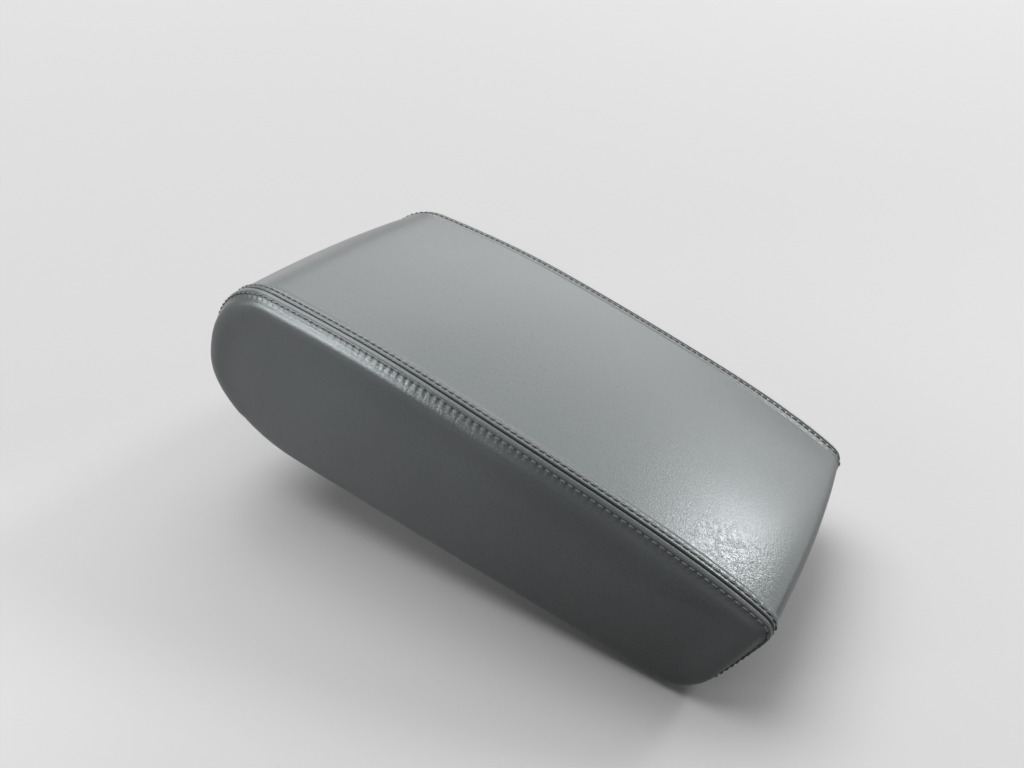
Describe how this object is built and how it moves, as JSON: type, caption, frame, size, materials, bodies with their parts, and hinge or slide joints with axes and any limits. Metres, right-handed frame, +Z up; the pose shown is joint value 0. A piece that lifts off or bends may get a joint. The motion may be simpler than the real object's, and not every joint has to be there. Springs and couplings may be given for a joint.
{
  "type": "car centre armrest",
  "caption": "Wedge-shaped padded leather car armrest lid with twin-needle side seams, on a rear hinge bracket, with a release paddle under its front edge.",
  "frame": {"origin": "middle of the bounding box on the surface that the hinge foot and the front bumpers stand on", "axes": "+X to the right, +Y to the rear hinge end, +Z up"},
  "size_m": [0.1794, 0.3538, 0.1457],
  "materials": {
    "leather": "fine grain, satin",
    "foam": "moulded foam",
    "tray": "moulded",
    "trim": "fine grain",
    "zinc_steel": "zinc plated",
    "bracket_paint": "black electrocoat",
    "bronze": "sintered bronze",
    "nylon": "natural nylon",
    "rubber": "matt",
    "lever": "glass-filled nylon"
  },
  "bodies": {
    "bracket": {"hinge_bracket": "bracket_paint", "bush_left": "bronze", "bush_right": "bronze", "washer_left": "nylon", "washer_right": "nylon"},
    "lid": {"cover_top": "leather", "cover_side_left": "leather", "cover_side_right": "leather", "foam_pad": "foam", "core_tray": "tray", "lower_cover": "trim", "lower_cover_screws": "zinc_steel", "hinge_leaf": "zinc_steel", "leaf_screws": "zinc_steel", "hinge_pin": "zinc_steel", "pin_clip": "zinc_steel", "latch_pin": "zinc_steel", "latch_spring": "zinc_steel", "bumper_front_left": "rubber", "bumper_front_right": "rubber", "bumper_rear_left": "rubber", "bumper_rear_right": "rubber"},
    "release": {"latch_lever": "lever"}
  },
  "joints": [
    {"name": "lid_hinge", "type": "hinge", "parent": "bracket", "child": "lid", "pos_m": [0, 0.1359, 0.05937], "axis": [-1, 0, 0], "range_deg": [0, 95]},
    {"name": "release_pivot", "type": "hinge", "parent": "lid", "child": "release", "pos_m": [0, -0.10205, 0.02795], "axis": [-1, 0, 0], "range_deg": [0, 12], "stiffness_Nm_per_rad": 0.3, "springref_deg": -11.46, "deforming": ["latch_spring"]}
  ]
}
